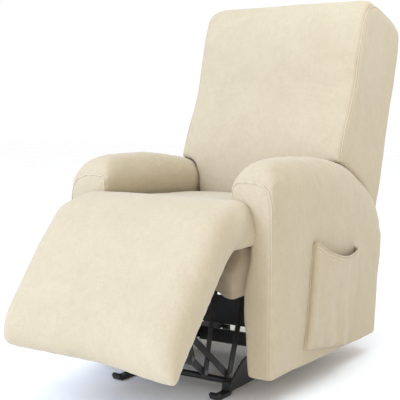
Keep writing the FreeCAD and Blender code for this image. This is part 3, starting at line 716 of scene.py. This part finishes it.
def top_corner(half, r, top=0.799):
    return [(half - r + r * math.sin(t), top - r + r * math.cos(t)) for t in np.linspace(0, math.pi / 2, 9)]


# the border sits squarer at one upper corner than at the other
BACK_FRONT = np.array([(-p[0], p[1]) for p in top_corner(WING, 0.068)][::-1] + top_corner(WING_L, 0.040) + [(WING_L, -0.10), (-WING, -0.10)])


def back_shape(x, y, z):
    x, y, z = np.broadcast_arrays(x, y, z)
    dy, dz = y - H.y, z - H.z
    b = dy * bx.y + dz * bx.z
    a = dy * ax_.y + dz * ax_.z
    crown = 0.014 * np.clip(1 - (x / 0.27) ** 2, 0, 1) * np.clip((a - 0.05) / 0.1, 0, 1) * np.clip((0.77 - a) / 0.15, 0, 1)
    sd = sd_poly(b + crown * np.clip((0.05 - b) / 0.1, 0, 1), a, BACK_SIDE)
    wide = sd_poly(x * (1 - 0.012 * np.clip((a - 0.30) / 0.35, 0, 1)), a, BACK_FRONT)
    sh = np.interp(b, shoulder_b, shoulder_a)
    wide = np.maximum(wide, sh - a)
    w = smin(wide, np.abs(x) - 0.192 - 0.011 * np.clip((a - 0.10) / 0.06, 0, 1), 0.02)
    d = smax(sd, w, 0.026)
    # the wings sit down over the arm rolls
    near_arm = (z < 0.70) & (z > 0.33)
    out = d.copy()
    for side in (1, -1):
        m = near_arm & (x * side > 0.12)
        arm = arm_shape(side)(x[m], y[m], z[m])
        out[m] = smax(d[m], 0.002 - arm, 0.008)
    return out


def back_seam(side):
    """Edge between the front panel and the side border, over the top to the rear."""
    s = [(0.283, -0.140, 0.262), (0.283, -0.140, 0.30), (0.283, -0.134, 0.36), (0.283, -0.120, 0.42), (0.284, -0.112, 0.50), (0.285, -0.116, 0.58),
         (0.286, -0.117, 0.66), (0.287, -0.112, 0.702), (0.288, -0.094, 0.736), (0.287, -0.050, 0.762), (0.286, 0.000, 0.776),
         (0.284, 0.070, 0.780), (0.280, 0.140, 0.778), (0.275, 0.180, 0.752), (0.272, 0.194, 0.70), (0.272, 0.195, 0.60), (0.271, 0.191, 0.45), (0.271, 0.187, 0.20), (0.270, 0.180, 0.08)]
    if side > 0:
        s = [(x + 0.006, b, a + 0.012 * min(1.0, max(0.0, (a - 0.70) / 0.05))) for x, b, a in s]
    return spline([tuple(back_point(side * x, b, a)) for x, b, a in s], 6)


v, f = field((-0.298, H.y - 0.24, H.z - 0.10), (0.304, H.y + 0.425, H.z + 0.81), GRID, back_shape)
back = new_mesh("back_cushion_cloth", v, f)
relax(back, 3)
c = co_of(back)
seams = [back_seam(1), back_seam(-1)]
pin = np.maximum(near(c, seams[0], 0.03)[0], near(c, seams[1], 0.03)[0])
loc_a = (c[:, 1] - H.y) * ax_.y + (c[:, 2] - H.z) * ax_.z
loc_b = (c[:, 1] - H.y) * bx.y + (c[:, 2] - H.z) * bx.z
low = np.clip((0.12 - loc_a) / 0.06, 0, 1)
sides_pin = np.where(np.abs(c[:, 0]) > 0.27, 0.45, 0.0)
crest = np.clip((loc_a - 0.74) / 0.05, 0, 1) * 0.6
rear = np.where(loc_b > 0.15, 0.4, 0.0)
under = np.where((np.abs(c[:, 0]) > 0.19) & (loc_a < 0.27), 0.9, 0.0)
puff(back, np.clip(np.maximum.reduce([pin, low, sides_pin, crest, rear, under]), 0.10, 1.0), 0.014)
relax(back, 2)
finer(back)
dg = bpy.context.evaluated_depsgraph_get()
me = bpy.data.meshes.new_from_object(back.evaluated_get(dg))
back.modifiers.clear()
back.data = me
c = co_of(back)
n = normals_of(back)
w = fbm(c, 4.5, 11.0) * 0.0030 + fbm(c, 14.0, 5.0) * 0.0008
keep = 1 - np.maximum(near(c, seams[0], 0.02)[0], near(c, seams[1], 0.02)[0])
set_co(back, c + n * (w * keep)[:, None])
for s in seams:
    pull_in(back, s, 0.0040, 0.009)
paint(back, VELVET)
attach(back, "backrest")
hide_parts("back_cover", "back_foam", "back_side_wadding", "back_rear_panel")
tree_b = bvh_of(back)
for word, s in (("left", seams[0]), ("right", seams[1])):
    p, nn = drop_on(tree_b, s, 0.003, 3)
    t = tube("back_seam_" + word, p, nn, 0.0022, 0.8, 0.0007, 8, beat=0.18, every=2)
    # the lighter seam velvet is a painted highlight on the seam roll
    paint(t, SEAM_HIGHLIGHT)
    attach(t, "backrest")


# ------------------------------------------------------------------ the seat and footrest pad, one cover over both
ky, kz = K.y - Y0, K.z
sv = (math.cos(PHI), math.sin(PHI))


def pad_pt(s, t):
    return (ky - s * sv[0] - t * sv[1], kz - s * sv[1] + t * sv[0])


upper = [(0.452, 0.440), (0.455, 0.490), (0.430, 0.505), (0.34, 0.508), (0.22, 0.513), (0.12, 0.521), (0.05, 0.529), (0.0, 0.534), (-0.04, 0.533)]
upper += [pad_pt(s, t) for s, t in ((0.022, 0.110), (0.065, 0.117), (0.12, 0.119), (0.19, 0.118), (0.26, 0.114), (0.33, 0.106),
                                    (0.378, 0.094), (0.412, 0.074), (0.430, 0.046), (0.432, 0.016), (0.420, -0.004))]
lower = [pad_pt(s, t) for s, t in ((0.38, -0.007), (0.30, -0.006), (0.20, -0.004), (0.12, -0.003), (0.07, -0.004), (0.045, -0.010))]
lower += [(-0.044, 0.412), (-0.02, 0.4165), (0.05, 0.417), (0.20, 0.417), (0.40, 0.417)]
PAD = np.array(list(spline(upper, 5)) + list(spline(lower, 4)))


def pad_shape(x, y, z):
    x, y, z = np.broadcast_arrays(x, y - Y0, z)
    dy, dz = y - ky, z - kz
    s = -dy * sv[0] - dz * sv[1]
    t = -dy * sv[1] + dz * sv[0]
    ax = np.abs(x)
    # the hem is drawn up more at one end than at the other
    e = np.clip(x / 0.26, 0, 1)
    pull = 1.046 - 0.052 * e * e * (3 - 2 * e)
    s2 = np.where(s > 0, s * (1 + (pull - 1) * np.clip(s / 0.2, 0, 1)), s)
    t2 = t - 0.010 * np.clip((-x - 0.10) / 0.15, 0, 1) * 0.0
    ypad, zpad = ky - s2 * sv[0] - t2 * sv[1], kz - s2 * sv[1] + t2 * sv[0]
    d = sd_poly(ypad, zpad, PAD)
    # between the arms the pad is held in by the rolls; ahead of them it spreads
    f = np.clip((y - 0.004) / 0.02, 0, 1)
    f = f * f * (3 - 2 * f)
    g = np.clip((z - 0.425) / 0.05, 0, 1)
    tight = 0.250 - 0.050 * g
    bulge = 0.028 * np.exp(-((y + 0.01) / 0.06) ** 2) * np.exp(-((z - 0.450) / 0.06) ** 2)
    full = np.clip(t / 0.045, 0, 1)
    wide = 0.250 + 0.022 * full * (2 - full) * np.clip(-y / 0.05, 0, 1) + 0.008 * (1 - np.clip(-y / 0.05, 0, 1)) + bulge
    w = wide + (tight - wide) * f
    # lower corners of the footrest drawn in
    toe = np.clip((s - 0.34) / 0.09, 0, 1)
    w = w + 0.003 * toe ** 2 * np.where(x > 0, 1.0, 0.0)
    w = w + np.where(x < 0, 0.020 * np.clip((s - 0.27) / 0.14, 0, 1) ** 1.5, 0.0)
    top = np.clip(np.where(y < 0.0, t, z - 0.417) / 0.06, 0, 1)
    k = 0.012 + 0.042 * top
    k = k * (1 - 0.55 * f) * (1 - 0.85 * toe * np.clip(x / 0.2, 0, 1) * np.clip((0.08 - t) / 0.06, 0, 1))
    return smax(d, ax - w, k)


v, f = field((-0.312, Y0 - 0.405, 0.112), (0.292, Y0 + 0.462, 0.550), GRID, pad_shape)
pad = new_mesh("seat_and_footrest_cover_cloth", v, f)
relax(pad, 4)
c = co_of(pad)
yy = c[:, 1] - Y0
s_ = -(yy - ky) * sv[0] - (c[:, 2] - kz) * sv[1]
t_ = -(yy - ky) * sv[1] + (c[:, 2] - kz) * sv[0]
under = np.clip((0.030 - np.where(yy < 0.0, t_, c[:, 2] - 0.417)) / 0.012, 0, 1)
hid = np.clip((yy - 0.03) / 0.03, 0, 1) * 0.7
puff(pad, np.clip(np.maximum(under, hid), 0.10, 1.0), 0.011)
relax(pad, 2)
finer(pad)
dg = bpy.context.evaluated_depsgraph_get()
me = bpy.data.meshes.new_from_object(pad.evaluated_get(dg))
pad.modifiers.clear()
pad.data = me
c = co_of(pad)
n = normals_of(pad)
yy = c[:, 1] - Y0
s_ = -(yy - ky) * sv[0] - (c[:, 2] - kz) * sv[1]
t_ = -(yy - ky) * sv[1] + (c[:, 2] - kz) * sv[0]
w = fbm(c, 4.0, 21.0) * 0.0034 + fbm(c, 13.0, 9.0) * 0.0009
top = np.clip(np.where(yy < 0.0, t_, c[:, 2] - 0.417) / 0.05, 0, 1)
# short gathers along the hem
hem = np.exp(-((t_ - 0.010) / 0.016) ** 2) * np.clip((-0.02 - yy) / 0.02, 0, 1)
gath = hem * np.sin((c[:, 0] * 0.6 + s_) * 190.0 + 2.2 * np.sin(s_ * 31.0)) * 0.0004
c = c + n * (w * top + gath)[:, None]
# the underside is eased over the heads of the front cranks
ease = np.clip(1 - ((np.abs(c[:, 0]) - 0.155) / 0.028) ** 2, 0, 1) * np.clip(1 - ((yy - 0.028) / 0.060) ** 2, 0, 1)
c[:, 2] += np.where(c[:, 2] < 0.426, 0.0055 * np.minimum(1.0, 1.6 * ease), 0.0)
set_co(pad, c)
paint(pad, VELVET)
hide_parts("seat_cover", "seat_foam", "footrest_cover", "footrest_foam")
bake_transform(pad)


# the board that backs the footrest, with eased corners
def rounded_plate(name, w, s0, s1, t0, t1, r, skew=0.0):
    out = []
    for cx, cs, a0 in ((w - r, s1 - r, 0), (-w + r, s1 - r, 90), (-w + r, s0 + r, 180), (w - r, s0 + r, 270)):
        for i in range(7):
            a = math.radians(a0 + 15 * i)
            out.append((cx + r * math.cos(a), cs + r * math.sin(a)))
    verts, faces = [], []
    e = 0.0008
    for t, inset in ((t0, e), (t0 + e, 0.0), (t1 - e, 0.0), (t1, e)):
        for x, s in out:
            x2, s2 = x * (1 - inset / w), s - inset * (1 if s > (s0 + s1) / 2 else -1)
            y, z = pad_pt(s2, t)
            verts.append((x2, Y0 + y, z))
    m = len(out)
    for k in range(3):
        for i in range(m):
            faces.append((k * m + i, k * m + (i + 1) % m, (k + 1) * m + (i + 1) % m, (k + 1) * m + i))
    faces.append(tuple(range(m))[::-1])
    faces.append(tuple(3 * m + i for i in range(m)))
    o = new_mesh(name, verts, faces, False)
    bm = bmesh.new()
    bm.from_mesh(o.data)
    bmesh.ops.recalc_face_normals(bm, faces=bm.faces)
    bm.to_mesh(o.data)
    bm.free()
    return o


board = rounded_plate("footrest_board_ply", 0.222, 0.060, 0.376, -0.0125, -0.001, 0.022)
paint(board, WOOD)
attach(board, "footrest")
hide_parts("footrest_board")


# ------------------------------------------------------------------ the side pocket
pk_lo, pk_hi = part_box("side_pocket")
TILT, HANG = math.radians(9.8), math.radians(7.5)
PW, PH = 0.277, 0.294
pk_y, pk_z = Y0 + 0.208, 0.411


def pocket_point(u, v, out):
    """u across towards the rear, v down, out from the arm's face."""
    q = Vector((0, math.cos(TILT), -math.sin(TILT))) * (u * PW) + Vector((0, -math.sin(HANG), -math.cos(HANG))) * (v * PH)
    y, z = pk_y + q.y, pk_z + q.z
    hit = tree_l.ray_cast(Vector((0.42, y, z)), Vector((-1, 0, 0)))
    x = hit[0].x if hit[0] is not None else 0.333
    return np.array((x + out, y, z))


def pocket_mesh():
    nu, nv, th = 84, 56, 0.0022
    front = np.zeros((nu + 1, nv + 1, 3))
    for i in range(nu + 1):
        u = i / nu
        sag = 0.110 * (4 * u * (1 - u)) ** 0.8 + 0.03 * math.sin(u * math.pi) * (u - 0.45)
        for j in range(nv + 1):
            v = j / nv
            vv = v + sag * (1 - v) ** 1.5
            edge = min(u, 1 - u)
            side = 1 - math.exp(-(edge / 0.012) ** 1.3)
            foot = 1 - math.exp(-((1 - vv) / 0.016) ** 1.3)
            mouth = 0.014 + 0.009 * (1 - v) ** 2 * (4 * u * (1 - u)) + 0.004 * math.sin(v * math.pi)
            out = 0.0015 + mouth * side * foot
            wob = (0.0014 * math.sin(u * 19 + 2.2 * math.sin(v * 4)) * (0.3 + v) - 0.003 * math.exp(-((u - 0.12) / 0.05) ** 2) * v
                   - 0.0025 * math.exp(-((u - 0.80) / 0.07) ** 2) * (1 - v)) * side * foot
            front[i, j] = pocket_point(u, vv, out + wob)
    nrm = np.cross(np.gradient(front, axis=1), np.gradient(front, axis=0))
    nrm /= np.linalg.norm(nrm, axis=2)[:, :, None]
    if nrm[nu // 2, nv // 2, 0] < 0:
        nrm = -nrm
    # the turned hem is thicker than the single cloth
    vv = np.arange(nv + 1) / nv
    hem = np.clip((0.062 - vv) / 0.012, 0, 1)
    fr = front + nrm * (0.0012 * hem)[None, :, None]
    bk = front - nrm * (th + 0.0008 * hem)[None, :, None]
    bk[:, :, 0] = np.maximum(bk[:, :, 0], 0)
    verts = np.concatenate([fr.reshape(-1, 3), bk.reshape(-1, 3)])
    m = (nu + 1) * (nv + 1)

    def vid(i, j, back_=False):
        return i * (nv + 1) + j + (m if back_ else 0)
    faces = []
    for i in range(nu):
        for j in range(nv):
            faces.append((vid(i, j), vid(i + 1, j), vid(i + 1, j + 1), vid(i, j + 1)))
            faces.append((vid(i, j, True), vid(i, j + 1, True), vid(i + 1, j + 1, True), vid(i + 1, j, True)))
    rim = [(i, 0) for i in range(nu)] + [(nu, j) for j in range(nv)] + [(i, nv) for i in range(nu, 0, -1)] + [(0, j) for j in range(nv, 0, -1)]
    for k in range(len(rim)):
        p, q = rim[k], rim[(k + 1) % len(rim)]
        faces.append((vid(*p), vid(*p, True), vid(*q, True), vid(*q)))
    o = new_mesh("side_pocket_cloth", verts, faces)
    bm = bmesh.new()
    bm.from_mesh(o.data)
    bmesh.ops.recalc_face_normals(bm, faces=bm.faces)
    bm.to_mesh(o.data)
    bm.free()
    return o, fr, nrm


pocket, pf, pn = pocket_mesh()
paint(pocket, VELVET)
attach(pocket, "base")
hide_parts("side_pocket")


def row(j, lo=0.0, hi=1.0):
    a, b = int(lo * 84), int(hi * 84)
    return pf[a:b + 1, j], pn[a:b + 1, j]


for i, j in enumerate((2, 4)):
    p, nn = row(j, 0.02, 0.98)
    p = resample(p, 0.003)
    nn = np.repeat(np.array([[1.0, 0, 0]]), len(p), 0)
    t = stitches("pocket_hem_stitches_%d" % i, p, nn, lift=0.0008)
    paint(t, THREAD)
    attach(t, "base")
p, nn = row(0)
p = resample(p, 0.004)
nn = np.repeat(np.array([[0.6, 0, 0.8]]), len(p), 0)
t = tube("pocket_rim", p - np.array([0.001, 0, 0]), nn, 0.0024, 1.0, 0.0, 8)
paint(t, VELVET)
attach(t, "base")
edge = np.concatenate([pf[0, 1:], pf[1:-1, -1], pf[-1, 1:][::-1]])
p, nn = drop_on(tree_l, edge, 0.004, 2)
t = tube("pocket_seam", p, nn, 0.0016, 0.8, 0.0012, 8, beat=0.15)
# the lighter seam velvet is a painted highlight on the seam roll
paint(t, SEAM_HIGHLIGHT)
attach(t, "base")


# ------------------------------------------------------------------ the lining behind the footrest
def lining(name, y, z1, seed, slack):
    nx, nz = 132, 36
    th = 0.0012
    grid = np.zeros((nx + 1, nz + 1, 3))
    for i in range(nx + 1):
        u = 2 * i / nx - 1
        for j in range(nz + 1):
            v = j / nz
            foot = np.interp(abs(u), [0, 0.60, 0.72, 0.82, 0.90, 1.0], [0.302, 0.300, 0.294, 0.283, 0.279, 0.286])
            z = z1 + (foot + 0.003 * math.sin(u * 13 + seed) - z1) * v
            half = np.interp(z, [0.27, 0.29, 0.31, 0.345, 0.385, 0.42], [0.248, 0.248, 0.249, 0.256, 0.267, 0.268])
            x = half * u
            amp = slack * min(1.0, v * 1.6) ** 0.8
            fold = math.sin(x * 92 + seed + 1.1 * math.sin(v * 2 + seed)) * 0.6 + math.sin(x * 41 + seed * 2 + v) * 0.5
            fold *= 1 - 0.7 * np.clip((abs(u) - 0.66) / 0.08, 0, 1)
            ends = np.clip((abs(u) - 0.88) / 0.10, 0, 1)
            bag = math.exp(-((abs(x) - 0.207) / 0.026) ** 2) * math.sin(math.pi * min(1.0, 0.12 + 0.80 * v))
            grid[i, j] = (x + 0.002 * math.sin(v * 5 + seed), y + 0.008 * min(1.0, max(0.0, (z - 0.35) / 0.045)) + amp * fold + 0.020 * ends * ends * (3 - 2 * ends) - 0.013 * bag, z)
    nrm = np.cross(np.gradient(grid, axis=1), np.gradient(grid, axis=0))
    nrm /= np.linalg.norm(nrm, axis=2)[:, :, None]
    verts = np.concatenate([(grid + nrm * th / 2).reshape(-1, 3), (grid - nrm * th / 2).reshape(-1, 3)])
    m = (nx + 1) * (nz + 1)

    def vid(i, j, b=False):
        return i * (nz + 1) + j + (m if b else 0)
    faces = []
    for i in range(nx):
        for j in range(nz):
            faces.append((vid(i, j), vid(i + 1, j), vid(i + 1, j + 1), vid(i, j + 1)))
            faces.append((vid(i, j, True), vid(i, j + 1, True), vid(i + 1, j + 1, True), vid(i + 1, j, True)))
    rim = [(i, 0) for i in range(nx)] + [(nx, j) for j in range(nz)] + [(i, nz) for i in range(nx, 0, -1)] + [(0, j) for j in range(nz, 0, -1)]
    for k in range(len(rim)):
        p, q = rim[k], rim[(k + 1) % len(rim)]
        faces.append((vid(*p), vid(*p, True), vid(*q, True), vid(*q)))
    o = new_mesh(name, verts, faces)
    bm = bmesh.new()
    bm.from_mesh(o.data)
    bmesh.ops.recalc_face_normals(bm, faces=bm.faces)
    bm.to_mesh(o.data)
    bm.free()
    area = float((np.linalg.norm(np.cross(np.diff(grid, axis=0)[:, :-1], np.diff(grid, axis=1)[:-1]), axis=2)).sum())
    width = float(np.linalg.norm(np.diff(grid[:, nz // 2], axis=0), axis=1).sum())
    return o, width, area / width


lin, lin_w, lin_l = lining("front_lining_cloth", Y0 - 0.006, 0.4125, 0.5, 0.006)
paint(lin, LINING)
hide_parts("front_lining")
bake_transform(lin)


# ------------------------------------------------------------------ room
def flat_grid(name, size, n, z):
    v = [(size * (i / n - 0.5), size * (j / n - 0.5), z) for i in range(n + 1) for j in range(n + 1)]
    f = [(i * (n + 1) + j, (i + 1) * (n + 1) + j, (i + 1) * (n + 1) + j + 1, i * (n + 1) + j + 1) for i in range(n) for j in range(n)]
    return new_mesh(name, v, f, False)


floor = flat_grid("floor", 30.0, 2, -0.0005)
fm, fnt, fb = material("floor_pale", (0.96, 0.96, 0.96), 0.9)
fn_ = noise_node(fnt, 3.0, 3.0)
fr_ = ramp(fnt, (0.97, 0.97, 0.97), (1.0, 1.0, 1.0))
fnt.links.new(fn_.outputs["Fac"], fr_.inputs["Fac"])
fnt.links.new(fr_.outputs["Color"], fb.inputs["Base Color"])
floor.data.materials.append(fm)


def area_light(name, loc, target, size, power, color=(1, 1, 1)):
    d = bpy.data.lights.new(name, "AREA")
    d.shape = "RECTANGLE"
    d.size, d.size_y = size
    d.energy = power
    d.color = color
    o = bpy.data.objects.new(name, d)
    bpy.context.collection.objects.link(o)
    o.location = loc
    o.rotation_mode = "QUATERNION"
    o.rotation_quaternion = (Vector(target) - Vector(loc)).to_track_quat("-Z", "Y")
    return o


area_light("key", (-1.3, -3.6, 2.3), (0, 0, 0.5), (2.6, 2.6), 162, (0.51, 0.68, 1.0))
area_light("front", (0.7, -3.6, 0.9), (0, 0, 0.5), (1.6, 1.4), 20, (1.0, 0.95, 0.82))
area_light("top", (0.3, -0.7, 3.1), (0, -0.1, 0.4), (1.6, 1.6), 14, (0.80, 0.92, 1.0))
area_light("side", (0.95, 0.35, 1.95), (0.05, 0.05, 0.60), (0.9, 0.9), 11, (0.74, 0.85, 1.0))
world = bpy.data.worlds.new("studio")
world.use_nodes = True
bg = world.node_tree.nodes["Background"]
bg.inputs["Color"].default_value = (1.0, 1.0, 1.0, 1)
bg.inputs["Strength"].default_value = 1.0
bpy.context.scene.world = world
bpy.context.scene.view_settings.view_transform = "Standard"

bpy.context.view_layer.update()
import json
